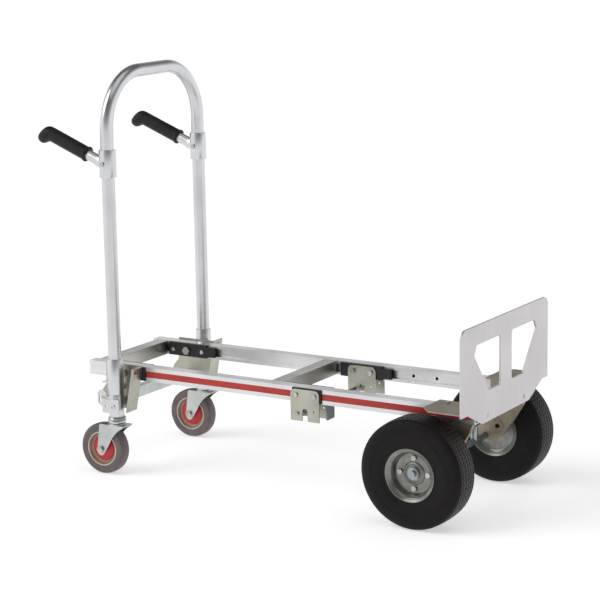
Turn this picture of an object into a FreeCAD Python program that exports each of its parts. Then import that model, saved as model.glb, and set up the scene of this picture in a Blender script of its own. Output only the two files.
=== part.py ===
import FreeCAD, Part
import math
import os
import Sketcher

# A convertible hand truck in its platform-cart position. X runs from the handle end to the nose plate, Y across
# the truck (left is +Y) and Z up from the floor. The origin is on the floor under the middle of the truck.

doc = FreeCAD.newDocument("ConvertibleHandTruck")
sheet = doc.addObject("Spreadsheet::Sheet", "Sizes")
ALONG_Y = FreeCAD.Rotation(FreeCAD.Vector(1, 0, 0), -90)
ALONG_X = FreeCAD.Rotation(FreeCAD.Vector(0, 1, 0), 90)
UPRIGHT = FreeCAD.Rotation()
nodes = []


class Size:
    """A length or an angle, together with the sheet expression that it follows."""

    def __init__(self, value, text):
        self.value = value
        self.text = text

    def __add__(self, other):
        other = as_size(other)
        return Size(self.value + other.value, f"({self.text} + {other.text})")

    def __sub__(self, other):
        other = as_size(other)
        return Size(self.value - other.value, f"({self.text} - {other.text})")

    def __mul__(self, other):
        other = as_size(other)
        return Size(self.value * other.value, f"({self.text} * {other.text})")

    def __truediv__(self, other):
        other = as_size(other)
        return Size(self.value / other.value, f"({self.text} / {other.text})")

    def __radd__(self, other):
        return as_size(other) + self

    def __rsub__(self, other):
        return as_size(other) - self

    def __rmul__(self, other):
        return as_size(other) * self

    def __neg__(self):
        return Size(-self.value, f"(0 - {self.text})")


def as_size(thing):
    if isinstance(thing, Size):
        return thing
    return Size(float(thing), f"({float(thing)})")


def cell(name, value, note):
    """One driving size: a plain number in the sheet, under a name of its own."""
    cell.row += 1
    sheet.set(f"A{cell.row}", note)
    sheet.set(f"B{cell.row}", str(value))
    sheet.setAlias(f"B{cell.row}", name)
    return Size(float(value), f"Sizes.{name}")


cell.row = 0

# ---- driving sizes, in millimetres and degrees ----

leg_back = cell("leg_back", 381.8, "handle legs, behind the origin")
wheelbase = cell("wheelbase", 840, "handle legs to the big wheels' axle")
deck_half = cell("deck_half", 151, "middle to the outer face of a rail")
leg_out = cell("leg_out", 40.6, "outer face of a rail to a leg's axis")
wheel_out = cell("wheel_out", 60.2, "outer face of a rail to the middle of a big wheel")
running = cell("running", 0.5, "gap between pieces that move past each other")
slip = cell("slip", 0.3, "gap around a pin or a tube that turns or slides in a hole")
bore_slip = cell("bore_slip", 0.05, "gap around a shaft in a bearing bore")

rail_top = cell("rail_top", 268, "top of the rails above the floor")
rail_high = cell("rail_high", 35, "height of a rail")
rail_wide = cell("rail_wide", 29.5, "width of a rail")
rail_wall = cell("rail_wall", 2.5, "wall of a rail")
rail_lip = cell("rail_lip", 7, "lip above and below the groove inside a rail")
rail_groove = cell("rail_groove", 8, "depth of the groove inside a rail")
rail_tail = cell("rail_tail", 109.5, "rail behind the handle legs")
spare_far = cell("spare_far", 190, "first spare hole inside a rail behind the axle")
spare_near = cell("spare_near", 127, "second spare hole inside a rail behind the axle")
stripe_high = cell("stripe_high", 15.2, "height of the red strip")
stripe_deep = cell("stripe_deep", 2, "depth of the recess for the red strip")
stripe_thick = cell("stripe_thick", 1.4, "thickness of the red strip")
stripe_start = cell("stripe_start", 62, "start of the red strip in front of the legs")
crossbar_wide = cell("crossbar_wide", 35, "width of a crossbar")
crossbar_wall = cell("crossbar_wall", 3, "wall of a crossbar")
crossbar_rear_at = cell("crossbar_rear_at", 80, "middle of the rear crossbar behind the legs")
crossbar_middle_at = cell("crossbar_middle_at", 422.5, "middle of the middle crossbar in front of the legs")
crossbar_front_at = cell("crossbar_front_at", 82, "middle of the front crossbar in front of the axle")

block_long = cell("block_long", 116, "length of a nylon block without its tongue")
block_shift = cell("block_shift", 3, "middle of a nylon block from its bolt")
block_tongue = cell("block_tongue", 24, "length of a nylon block's tongue")
block_thick = cell("block_thick", 8, "thickness of a nylon block")
block_inset = cell("block_inset", 1, "rail left bare above and below a nylon block")
tongue_step = cell("tongue_step", 4, "step from a nylon block down to its tongue")
spacer_thick = cell("spacer_thick", 3.5, "thickness of a nylon spacer outside a rail")
spacer_shows = cell("spacer_shows", 4, "how far a nylon spacer shows past its latch box")
rivet_at = cell("rivet_at", 44, "block rivets from the block's middle")

axle_high = cell("axle_high", 127, "axle above the floor, the radius of a big wheel")
axle_radius = cell("axle_radius", 8, "radius of the axle")
tyre_wide = cell("tyre_wide", 85, "width of a big tyre")
tyre_round = cell("tyre_round", 22, "shoulder of a big tyre")
rim_radius = cell("rim_radius", 60, "radius of a big wheel's rim flange")
rim_seat = cell("rim_seat", 54, "radius that a big tyre sits on")
rim_sheet = cell("rim_sheet", 3, "sheet of a big wheel's rim")
rim_lip = cell("rim_lip", 36.5, "inner face of a rim flange from the wheel's middle")
disc_out = cell("disc_out", 14, "outer face of a rim's disc, outward from the wheel's middle")
disc_in = cell("disc_in", 28, "inner face of a rim's inner disc, inward from the wheel's middle")
hub_radius = cell("hub_radius", 15, "radius of a big wheel's hub")
hub_out = cell("hub_out", 19, "outer end of a hub, outward from the wheel's middle")
hub_in = cell("hub_in", 33, "inner end of a hub, inward from the wheel's middle")
rim_bolt_circle = cell("rim_bolt_circle", 35, "radius of the rim bolts' circle")
rim_bolt = cell("rim_bolt", 4, "radius of a rim bolt")
washer_thick = cell("washer_thick", 2, "thickness of an axle washer")
clip_thick = cell("clip_thick", 1.2, "thickness of an axle clip")

bracket_thick = cell("bracket_thick", 14, "thickness of an axle bracket")
bracket_eye = cell("bracket_eye", 6, "radius of the spare hole in an axle bracket")
boss_radius = cell("boss_radius", 14, "radius of the boss around that hole")
boss_high = cell("boss_high", 2.5, "height of that boss on both faces")
post_radius = cell("post_radius", 8, "radius of an axle post")
post_out = cell("post_out", 71, "axle posts from the middle")
tie_above = cell("tie_above", 46, "tie bar above the axle")
tie_side = cell("tie_side", 16, "side of the square tie bar")

nose_ahead = cell("nose_ahead", 116.7, "nose plate's front face in front of the axle")
nose_half = cell("nose_half", 225, "half of the nose plate's width")
nose_top = cell("nose_top", 457.5, "top of the nose plate above the floor")
nose_thick = cell("nose_thick", 5, "thickness of the nose plate")
nose_foot = cell("nose_foot", 229, "bottom edge of the nose plate above the floor")
nose_foot_half = cell("nose_foot_half", 121, "half of the nose plate's bottom edge")
nose_shoulder = cell("nose_shoulder", 264, "underside of the nose plate's ends above the floor")
nose_round = cell("nose_round", 22, "corner of the nose plate")
window_top = cell("window_top", 414, "top of the nose plate's windows above the floor")
window_foot = cell("window_foot", 300, "bottom of the nose plate's windows above the floor")
window_in = cell("window_in", 28, "inner edge of a window from the middle")
window_out = cell("window_out", 163, "outer edge of a window at the top, from the middle")
window_foot_out = cell("window_foot_out", 90, "outer edge of a window at the bottom, from the middle")
window_round = cell("window_round", 7, "corner of a window")
gusset_back = cell("gusset_back", 8, "rear edge of a gusset in front of the axle")
gusset_out = cell("gusset_out", 222, "outer edge of a gusset from the middle")
gusset_thick = cell("gusset_thick", 4, "thickness of a gusset")
gusset_drop = cell("gusset_drop", 32, "height of a gusset's inner flange")
nose_bolt_out = cell("nose_bolt_out", 95, "nose plate's bolts from the middle")
nose_bolt_high = cell("nose_bolt_high", 244, "nose plate's bolts above the floor")
nose_bolt_radius = cell("nose_bolt_radius", 6, "radius of the flush heads in the nose plate")

pivot_high = cell("pivot_high", 249, "tilt pivot above the floor")
pivot_bolt = cell("pivot_bolt", 6, "radius of a pivot bolt")
leg_radius = cell("leg_radius", 15.875, "radius of the handle tube")
leg_wall = cell("leg_wall", 2, "wall of the handle tube")
leg_foot = cell("leg_foot", 148, "bottom of the handle tube above the floor")
arch_top = cell("arch_top", 996, "top of the handle above the floor")
arch_bend = cell("arch_bend", 134, "radius of the handle's bends on the tube's axis")
collar_wall = cell("collar_wall", 3.4, "wall of a collar")
collar_foot = cell("collar_foot", 205, "bottom of a collar above the floor")
collar_high = cell("collar_high", 86, "height of a collar")
slide_travel = cell("slide_travel", 444, "travel of the handle through the collars")
sheet_thick = cell("sheet_thick", 3, "sheet of the carriages and the latch boxes")
carriage_back = cell("carriage_back", 52, "carriage behind the legs")
carriage_ahead = cell("carriage_ahead", 56, "carriage in front of the legs at the top")
carriage_toe = cell("carriage_toe", 34, "carriage in front of the legs at the bottom")
carriage_foot = cell("carriage_foot", 160, "bottom of a carriage above the floor")
carriage_lobe = cell("carriage_lobe", 72, "carriage's rear lobe behind the legs")
carriage_shelf = cell("carriage_shelf", 46, "how far a carriage stands out from its web")

bar_back = cell("bar_back", 37, "lower bar behind the legs")
bar_high = cell("bar_high", 176, "middle of the lower bar above the floor")
bar_tall = cell("bar_tall", 28, "height of the lower bar")
bar_deep = cell("bar_deep", 20, "depth of the lower bar")
bar_half = cell("bar_half", 98, "half the length of the lower bar's thick part")
bar_pin = cell("bar_pin", 6, "radius of the lower bar's ends")
foot_wall = cell("foot_wall", 2.4, "wall of a leg's foot")
foot_high = cell("foot_high", 58, "height of a leg's foot")

clamp_high = cell("clamp_high", 66, "height of a grip clamp")
clamp_radius = cell("clamp_radius", 20.5, "radius of a grip clamp")
clamp_bolt_back = cell("clamp_bolt_back", 1, "clamp bolts behind the legs' axes")
socket_wall = cell("socket_wall", 1.5, "wall of a clamp's socket")
grip_rise = cell("grip_rise", 22.2, "slope of the grips, in degrees")
grip_at = cell("grip_at", 764, "where the grips' axes meet the legs, above the floor")
grip_tube = cell("grip_tube", 12.7, "radius of a grip's tube")
grip_radius = cell("grip_radius", 17, "radius of a grip")
grip_start = cell("grip_start", 62, "start of a grip from the leg's axis")
grip_end = cell("grip_end", 207, "end of a grip from the leg's axis")
grip_flange = cell("grip_flange", 2, "how far the flange at a grip's start stands out")
grip_cap = cell("grip_cap", 16, "thickness of a grip's closed end")
lip_radius = cell("lip_radius", 21, "radius of the lip under a grip's end")
lip_drop = cell("lip_drop", 10, "middle of that lip below the grip's axis")
lip_long = cell("lip_long", 26, "length of that lip")

latch_half = cell("latch_half", 38.5, "half the length of a latch box")
latch_top = cell("latch_top", 264.5, "top of a latch box above the floor")
latch_foot = cell("latch_foot", 189, "bottom of a latch box above the floor")
latch_round = cell("latch_round", 12, "corner of a latch box")
latch_bolt_at = cell("latch_bolt_at", 24.3, "latch bolts from the middle of a latch box")
latch_bolt_high = cell("latch_bolt_high", 250.5, "latch bolts above the floor")
slot_slip = cell("slot_slip", 1.25, "gap around the lower bar's end in a slot")
rod_back = cell("rod_back", 20, "release rod behind the slot")
rod_high = cell("rod_high", 206, "release rod above the floor")
rod_radius = cell("rod_radius", 4, "radius of the release rod")
pedal_ahead = cell("pedal_ahead", 63, "pedal in front of the release rod")
pedal_wide = cell("pedal_wide", 34, "width of the pedal")
pedal_tall = cell("pedal_tall", 38, "height of the pedal")
small_bolt = cell("small_bolt", 4, "radius of a small bolt")
head_high = cell("head_high", 3, "height of a small bolt's head")

caster_radius = cell("caster_radius", 63.5, "radius of a caster wheel")
caster_wide = cell("caster_wide", 32, "width of a caster wheel")
caster_trail = cell("caster_trail", 38.2, "trail of a caster")
caster_core = cell("caster_core", 42, "radius of a caster wheel's core")
caster_hub = cell("caster_hub", 22, "radius of a caster wheel's hub")
caster_round = cell("caster_round", 6, "shoulder of a caster tyre")
caster_bolt = cell("caster_bolt", 5, "radius of a caster's axle bolt")
fork_sheet = cell("fork_sheet", 3, "sheet of a caster fork")
fork_crown = cell("fork_crown", 127.5, "top of a caster fork's crown above the floor")
crown_back = cell("crown_back", 18, "fork's crown behind the legs, clear of the wheel")
crown_ahead = cell("crown_ahead", 30, "fork's crown in front of the legs")
cheek_back = cell("cheek_back", 41, "top of a fork's cheeks behind the legs")
race_radius = cell("race_radius", 22, "radius of a caster's bearing")
kingpin = cell("kingpin", 5, "radius of a caster's kingpin")

# ---- places that follow from them ----

leg_x = -leg_back
axle_x = leg_x + wheelbase
nose_x = axle_x + nose_ahead
leg_y = deck_half + leg_out
wheel_y = deck_half + wheel_out
rail_in = deck_half - rail_wide
rail_foot = rail_top - rail_high
rail_back = leg_x - rail_tail
rail_front = nose_x - nose_thick
rail_middle = rail_top - rail_high / 2
web_y = deck_half + spacer_thick + running
collar_bore = leg_radius + slip
collar_radius = collar_bore + collar_wall
bar_x = leg_x - bar_back
foot_radius = leg_radius + foot_wall
foot_top = collar_foot - running
foot_low = foot_top - foot_high
clamp_foot = collar_foot + collar_high + slide_travel + running
clamp_bolt_x = leg_x - clamp_bolt_back
clamp_bolt_high = clamp_foot + clamp_high / 2
# turned a quarter turn about the pivot and slid to the end, the lower bar comes to rest here
latch_x = leg_x + (pivot_high - bar_high) + slide_travel
slot_high = pivot_high - bar_back
slot_half = bar_pin + slot_slip
latch_in = rail_in - block_thick
latch_out = deck_half + spacer_thick
rod_x = latch_x - rod_back
pivot_block_x = leg_x + block_shift
latch_block_x = latch_x - block_shift
bracket_in = (deck_half + rail_in - bracket_thick) / 2
caster_x = leg_x - caster_trail


def place(thing, x=0, y=0, z=0, turn=UPRIGHT):
    """Puts an object where the sheet says, turned as given."""
    thing.Placement = FreeCAD.Placement(FreeCAD.Vector(), turn)
    for axis, where in zip("xyz", (x, y, z)):
        thing.setExpression(f"Placement.Base.{axis}", as_size(where).text)
    return thing


def block(name, low, high):
    """A box between two corners."""
    box = doc.addObject("Part::Box", name)
    for side, a, b in zip(("Length", "Width", "Height"), low, high):
        box.setExpression(side, (as_size(b) - a).text)
    return place(box, *low)


def rod(name, start, turn, length, radius):
    """A round bar from start, along Z unless it is turned."""
    bar = doc.addObject("Part::Cylinder", name)
    bar.setExpression("Height", as_size(length).text)
    bar.setExpression("Radius", as_size(radius).text)
    return place(bar, *start, turn)


def tube(name, start, turn, length, radius, bore):
    outside = rod(name + "Outside", start, turn, length, radius)
    inside = rod(name + "Inside", start, turn, length, bore)
    return cut(name, outside, inside)


def hexagon(name, start, turn, length, radius):
    """A bolt head or a nut."""
    prism = doc.addObject("Part::Prism", name)
    prism.Polygon = 6
    prism.setExpression("Circumradius", as_size(radius).text)
    prism.setExpression("Height", as_size(length).text)
    return place(prism, *start, turn)


def fuse(name, *pieces):
    whole = doc.addObject("Part::MultiFuse", name)
    whole.Shapes = list(pieces)
    return whole


def cut(name, base, *tools):
    rest = doc.addObject("Part::Cut", name)
    rest.Base = base
    rest.Tool = tools[0] if len(tools) == 1 else fuse(name + "Tools", *tools)
    return rest


def group(name, *pieces):
    """Separate solids that share a node."""
    several = doc.addObject("Part::Compound", name)
    several.Links = list(pieces)
    return several


def mirrored(name, source):
    """The same piece on the other side of the truck."""
    other = doc.addObject("Part::Mirroring", name)
    other.Source = source
    other.Normal = (0, 1, 0)
    return other


def node(label, thing):
    thing.Label = label
    nodes.append(thing)
    return thing


def both_sides(label, right):
    """A piece on the right, and its mirror image on the left."""
    node(label + "_right", right)
    node(label + "_left", mirrored(right.Name + "Left", right))


def both_in_one(label, *right):
    """Pieces on the right and their mirror images, as one node of separate solids."""
    node(label, group(label.title().replace("_", ""), *right, *(mirrored(p.Name + "Left", p) for p in right)))


def new_sketch(body, role, offset=0):
    """A sketch on one of a body's own planes, or in front of it."""
    sketch = body.newObject("Sketcher::SketchObject", body.Name + "Sketch")
    plane = next(p for p in body.Origin.OriginFeatures if p.Role == role)
    sketch.AttachmentSupport = (plane, [""])
    sketch.MapMode = "FlatFace"
    sketch.setExpression("AttachmentOffset.Base.z", as_size(offset).text)
    return sketch


def pin(sketch, line, end, a, b):
    """Ties one point of a sketch to the sheet, or only its height when a is None."""
    for kind, axis, where in (("DistanceX", -2, a), ("DistanceY", -1, b)):
        if where is None:
            continue
        where = as_size(where)
        if where.value == 0:
            sketch.addConstraint(Sketcher.Constraint("PointOnObject", line, end, axis))
        else:
            index = sketch.addConstraint(Sketcher.Constraint(kind, -1, 1, line, end, where.value))
            sketch.setExpression(f"Constraints[{index}]", where.text)


def outline(sketch, points):
    """A closed run of straight lines through points that are tied to the sheet."""
    corners = [FreeCAD.Vector(as_size(a).value, as_size(b).value, 0) for a, b in points]
    first = sketch.GeometryCount
    count = len(points)
    for n in range(count):
        sketch.addGeometry(Part.LineSegment(corners[n], corners[(n + 1) % count]), False)
    for n in range(count):
        following = first + (n + 1) % count
        sketch.addConstraint(Sketcher.Constraint("Coincident", first + n, 2, following, 1))
        pin(sketch, first + n, 1, *points[n])


def hole(sketch, a, b, radius):
    """A circle that is tied to the sheet."""
    centre = FreeCAD.Vector(as_size(a).value, as_size(b).value, 0)
    index = sketch.addGeometry(Part.Circle(centre, FreeCAD.Vector(0, 0, 1), radius.value), False)
    pin(sketch, index, 3, a, b)
    size = sketch.addConstraint(Sketcher.Constraint("Radius", index, radius.value))
    sketch.setExpression(f"Constraints[{size}]", radius.text)


def slot_outline(sketch, a, top, foot, half):
    """A slot with a round top, open or square at its foot."""
    a, top, foot = as_size(a), as_size(top), as_size(foot)
    left = FreeCAD.Vector(a.value - half.value, top.value, 0)
    right = FreeCAD.Vector(a.value + half.value, top.value, 0)
    left_foot = FreeCAD.Vector(left.x, foot.value, 0)
    right_foot = FreeCAD.Vector(right.x, foot.value, 0)
    first = sketch.GeometryCount
    circle = Part.Circle(FreeCAD.Vector(a.value, top.value, 0), FreeCAD.Vector(0, 0, 1), half.value)
    sketch.addGeometry(Part.ArcOfCircle(circle, 0, math.pi), False)
    sketch.addGeometry(Part.LineSegment(left, left_foot), False)
    sketch.addGeometry(Part.LineSegment(left_foot, right_foot), False)
    sketch.addGeometry(Part.LineSegment(right_foot, right), False)
    for one, end, other, start in ((0, 2, 1, 1), (1, 2, 2, 1), (2, 2, 3, 1), (3, 2, 0, 1)):
        sketch.addConstraint(Sketcher.Constraint("Coincident", first + one, end, first + other, start))
    pin(sketch, first, 1, a + half, top)
    pin(sketch, first, 2, a - half, top)
    pin(sketch, first, 3, None, top)
    pin(sketch, first + 2, 1, a - half, foot)
    pin(sketch, first + 2, 2, a + half, foot)


def add_feature(body, kind, sketch, **sizes):
    feature = body.newObject("PartDesign::" + kind, body.Name + kind)
    feature.Profile = (sketch, [""])
    for name, size in sizes.items():
        feature.setExpression(name, as_size(size).text)
    return feature


def round_corners(body, radius, wanted):
    """Fillets the edges of a body's last feature that wanted picks."""
    doc.recompute()
    last = body.Tip
    names = [f"Edge{n}" for n, edge in enumerate(last.Shape.Edges, 1) if wanted(edge)]
    feature = body.newObject("PartDesign::Fillet", body.Name + "Fillet")
    feature.Base = (last, names)
    feature.setExpression("Radius", radius.text)
    return feature


def runs_along(edge, axis):
    """Whether an edge is straight and parallel to X, Y or Z (0, 1 or 2)."""
    if edge.Curve.TypeId != "Part::GeomLine":
        return False
    return abs(edge.Curve.Direction[axis]) > 0.999


def plate(name, role, offset, depth, points, holes=()):
    """A flat piece: an outline and its round holes, padded away from one of its body's planes."""
    body = doc.addObject("PartDesign::Body", name)
    sketch = new_sketch(body, role, offset)
    outline(sketch, points)
    for spot in holes:
        hole(sketch, *spot)
    add_feature(body, "Pad", sketch, Length=depth)
    return body


def cut_slot(body, role, offset, depth, *slot):
    """Cuts a round-topped slot, from a plane in front of the piece back into it."""
    doc.recompute()
    before = body.Shape.Volume
    sketch = new_sketch(body, role, offset)
    slot_outline(sketch, *slot)
    feature = add_feature(body, "Pocket", sketch, Length=depth)
    doc.recompute()
    if body.Shape.Volume > before - 1:
        feature.Reversed = True
        doc.recompute()
    if body.Shape.Volume > before - 1:
        raise ValueError(body.Name + ": the slot cuts nothing")


def turned(name, role, points):
    """A piece that is turned about its body's own Y or Z axis, from radius and height pairs."""
    body = doc.addObject("PartDesign::Body", name)
    sketch = new_sketch(body, role)
    outline(sketch, points)
    feature = add_feature(body, "Revolution", sketch)
    feature.ReferenceAxis = (sketch, ["V_Axis"])
    feature.Angle = 360
    return body


# ---- frame: rails, crossbars and nylon blocks ----


def pivot_fixings():
    """The bolt and the rivets through a rail at a pivot: place along it, height and radius."""
    rivets = [(pivot_block_x + side * rivet_at, pivot_high, small_bolt) for side in (-1, 1)]
    return [(leg_x, pivot_high, pivot_bolt)] + rivets


def latch_fixings():
    """The bolts through a rail at a latch box."""
    return [(latch_x + side * latch_bolt_at, latch_bolt_high, small_bolt) for side in (-1, 1)]


def loose(fixings):
    """The holes for some fixings."""
    return [(x, z, radius + slip) for x, z, radius in fixings]


def make_rail():
    y_out = -deck_half
    y_in = -rail_in
    bar = block("RailBar", (rail_back, y_out, rail_foot), (rail_front, y_in, rail_top))
    stripe_low = rail_middle - stripe_high / 2
    recess = block(
        "RailRecess",
        (rail_back, y_out, stripe_low),
        (rail_front, y_out + stripe_deep, stripe_low + stripe_high),
    )
    groove = block(
        "RailGroove",
        (rail_back, y_in - rail_groove, rail_foot + rail_lip),
        (rail_front, y_in, rail_top - rail_lip),
    )
    core = block(
        "RailCore",
        (rail_back, y_out + stripe_deep + rail_wall, rail_foot + rail_wall),
        (rail_front, y_in - rail_groove - rail_wall, rail_top - rail_wall),
    )
    holes = []
    for n, (x, z, radius) in enumerate(loose(pivot_fixings() + latch_fixings())):
        holes.append(rod(f"RailHole{n}", (x, y_out - 1, z), ALONG_Y, rail_wide + 2, radius))
    wall_y = y_in - rail_groove - rail_wall
    for n, behind in enumerate((spare_far, spare_near)):
        start = (axle_x - behind, wall_y - 1, rail_middle)
        holes.append(rod(f"RailSpareHole{n}", start, ALONG_Y, rail_wall + 2, small_bolt))
    both_sides("rail", cut("Rail", bar, recess, groove, core, *holes))


def make_stripes():
    y_floor = -deck_half + stripe_deep
    low = rail_middle - stripe_high / 2
    strip = block(
        "Stripe",
        (leg_x + stripe_start, y_floor - stripe_thick, low),
        (rail_front, y_floor, low + stripe_high),
    )
    holes = []
    for n, (x, z, radius) in enumerate(loose(latch_fixings())):
        holes.append(rod(f"StripeHole{n}", (x, -deck_half - 1, z), ALONG_Y, stripe_deep + 2, radius))
    both_in_one("rail_stripes", cut("StripeHoled", strip, *holes))


def make_crossbar(label, middle, end):
    name = label.title().replace("_", "")
    back = middle - crossbar_wide / 2
    front = middle + crossbar_wide / 2
    bar = block(name + "Bar", (back, -end, rail_foot), (front, end, rail_top))
    core = block(
        name + "Core",
        (back + crossbar_wall, -end, rail_foot + crossbar_wall),
        (front - crossbar_wall, end, rail_top - crossbar_wall),
    )
    node(label, cut(name, bar, core))


def nylon_block(name, middle, fixings):
    """A block on the inner face of the right rail, with a tongue toward the nose."""
    low = rail_foot + block_inset
    high = rail_top - block_inset
    back = middle - block_long / 2
    front = middle + block_long / 2
    corners = [
        (back, low),
        (front, low),
        (front, low + tongue_step),
        (front + block_tongue, low + tongue_step),
        (front + block_tongue, high - tongue_step),
        (front, high - tongue_step),
        (front, high),
        (back, high),
    ]
    return plate(name, "XZ_Plane", latch_in, block_thick, corners, loose(fixings))


def nylon_plate(name, back, front, fixings):
    """A flat piece on the outer face of the right rail."""
    low = rail_foot + block_inset
    high = rail_top - block_inset
    corners = [(back, low), (front, low), (front, high), (back, high)]
    return plate(name, "XZ_Plane", deck_half, spacer_thick, corners, loose(fixings))


def make_blocks():
    both_in_one(
        "nylon_blocks",
        nylon_block("PivotBlock", pivot_block_x, pivot_fixings()),
        nylon_block("LatchBlock", latch_block_x, latch_fixings()),
    )
    half = block_long / 2
    spacer_back = latch_x - latch_half + block_shift
    spacer_front = latch_x + latch_half + spacer_shows
    both_in_one(
        "nylon_spacers",
        nylon_plate("WearPlate", pivot_block_x - half, pivot_block_x + half, pivot_fixings()),
        nylon_plate("LatchSpacer", spacer_back, spacer_front, latch_fixings()),
    )


def through_bolt(name, spot, inner, outer):
    """A bolt across the right rail: a hexagon head inside, a shank and a nut outside."""
    x, z, radius = spot
    shank = rod(name + "Shank", (x, -outer, z), ALONG_Y, outer - inner, radius)
    head = hexagon(name + "Head", (x, -inner, z), ALONG_Y, head_high + radius / 3, radius * 1.8)
    nut = hexagon(name + "Nut", (x, -outer - head_high, z), ALONG_Y, head_high, radius * 1.7)
    return fuse(name, shank, head, nut)


def make_rail_fasteners():
    pivot, *spots = pivot_fixings()
    both_in_one("pivot_bolts", through_bolt("PivotBolt", pivot, latch_in, web_y + sheet_thick + running))
    rivets = []
    for n, (x, z, radius) in enumerate(spots):
        shank = rod(f"Rivet{n}", (x, -latch_out, z), ALONG_Y, latch_out - latch_in, radius)
        head = rod(f"RivetHead{n}", (x, -latch_in, z), ALONG_Y, head_high / 2, radius * 1.3)
        rivets.append(fuse(f"BlockRivet{n}", shank, head))
    both_in_one("block_rivets", *rivets)
    bolts = []
    for n, spot in enumerate(latch_fixings()):
        bolts.append(through_bolt(f"LatchBolt{n}", spot, latch_in - sheet_thick, latch_out + sheet_thick))
    both_in_one("latch_bolts", *bolts)


# ---- frame: latch boxes ----


def latch_plate(name, offset):
    corners = [
        (latch_x - latch_half, latch_foot),
        (latch_x + latch_half, latch_foot),
        (latch_x + latch_half, latch_top),
        (latch_x - latch_half, latch_top),
    ]
    holes = loose(latch_fixings()) + [
        (rod_x, rod_high, rod_radius + slip),
        (latch_x + latch_bolt_at, slot_high + 2, small_bolt * 0.6),
    ]
    body = plate(name, "XZ_Plane", offset, sheet_thick, corners, holes)

    def is_top_corner(edge):
        return runs_along(edge, 1) and edge.CenterOfMass.z > latch_top.value - 1

    round_corners(body, latch_round, is_top_corner)
    cut_slot(body, "XZ_Plane", offset, sheet_thick, latch_x, slot_high, latch_foot - 1, slot_half)
    return body


def make_latch_boxes():
    inner = latch_plate("LatchInner", latch_in - sheet_thick)
    outer = latch_plate("LatchOuter", latch_out)
    back = block(
        "LatchBack",
        (latch_x - latch_half, -latch_out, latch_foot),
        (latch_x - latch_half + sheet_thick, -latch_in, rail_foot),
    )
    both_sides("latch_box", fuse("LatchBox", inner, outer, back))


# ---- frame: nose plate, gussets, axle and its brackets ----


def make_nose_plate():
    half = [
        (nose_half, nose_shoulder),
        (nose_half, nose_top),
    ]
    right = [(-y, z) for y, z in reversed(half)]
    foot_out = nose_foot_half + (nose_half - nose_foot_half) * 0.37
    chin_high = nose_foot + (nose_shoulder - nose_foot) / 2
    chin_out = nose_half - 31
    left_side = [(nose_foot_half, nose_foot), (foot_out, chin_high), (chin_out, nose_shoulder)] + half
    corners = left_side + right + [(-chin_out, nose_shoulder), (-foot_out, chin_high), (-nose_foot_half, nose_foot)]
    body = doc.addObject("PartDesign::Body", "NosePlate")
    sketch = new_sketch(body, "YZ_Plane", nose_x - nose_thick)
    outline(sketch, corners)
    knee_high = window_top - (window_out - window_in) * 0.16
    for side in (1, -1):
        window = [
            (side * window_in, window_foot),
            (side * window_foot_out, window_foot),
            (side * window_out, knee_high),
            (side * (window_out - 13), window_top),
            (side * window_in, window_top),
        ]
        outline(sketch, window)
    for side in (1, -1):
        hole(sketch, side * nose_bolt_out, nose_bolt_high, nose_bolt_radius)
    add_feature(body, "Pad", sketch, Length=nose_thick)

    def is_top_corner(edge):
        return runs_along(edge, 0) and edge.CenterOfMass.z > nose_top.value - 1

    def is_window_corner(edge):
        spot = edge.CenterOfMass
        inside = abs(spot.y) < window_out.value + 1
        return runs_along(edge, 0) and inside and window_foot.value - 1 < spot.z < window_top.value + 1

    round_corners(body, nose_round, is_top_corner)
    round_corners(body, window_round, is_window_corner)
    node("nose_plate", body)


def make_gussets():
    back = axle_x + gusset_back
    inner = rail_in - gusset_thick
    top = plate(
        "GussetTop",
        "XY_Plane",
        rail_top,
        gusset_thick,
        [
            (back, -inner),
            (back, -gusset_out + 27),
            (back + 24, -gusset_out),
            (rail_front, -gusset_out),
            (rail_front, -inner),
        ],
    )
    flange = block("GussetFlange", (back + 12, -rail_in, rail_top - gusset_drop), (rail_front, -inner, rail_top))
    both_sides("gusset", fuse("Gusset", top, flange))


def make_axle_brackets():
    corners = [
        (axle_x - 16, axle_high - 12),
        (axle_x + 10, axle_high - 16),
        (axle_x + 45, axle_high + 6),
        (axle_x + 72, axle_high + 44),
        (axle_x + 96, rail_foot - 22),
        (axle_x + 104, rail_foot),
        (axle_x - 46, rail_foot),
        (axle_x - 22, axle_high + 20),
    ]
    eye = (axle_x + 33, axle_high + 28, bracket_eye)
    eye_x, eye_high, eye_radius = eye
    side = plate("AxleBracketPlate", "XZ_Plane", bracket_in, bracket_thick, corners)
    boss_y = -bracket_in - bracket_thick - boss_high
    boss_long = bracket_thick + boss_high * 2
    boss = rod("AxleBracketBoss", (eye_x, boss_y, eye_high), ALONG_Y, boss_long, boss_radius)
    eye_hole = rod("AxleBracketEye", (eye_x, boss_y, eye_high), ALONG_Y, boss_long, eye_radius)
    axle_hole = rod("AxleBracketHole", (axle_x, boss_y, axle_high), ALONG_Y, boss_long, axle_radius)
    both_sides("axle_bracket", cut("AxleBracket", fuse("AxleBracketWhole", side, boss), eye_hole, axle_hole))


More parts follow.
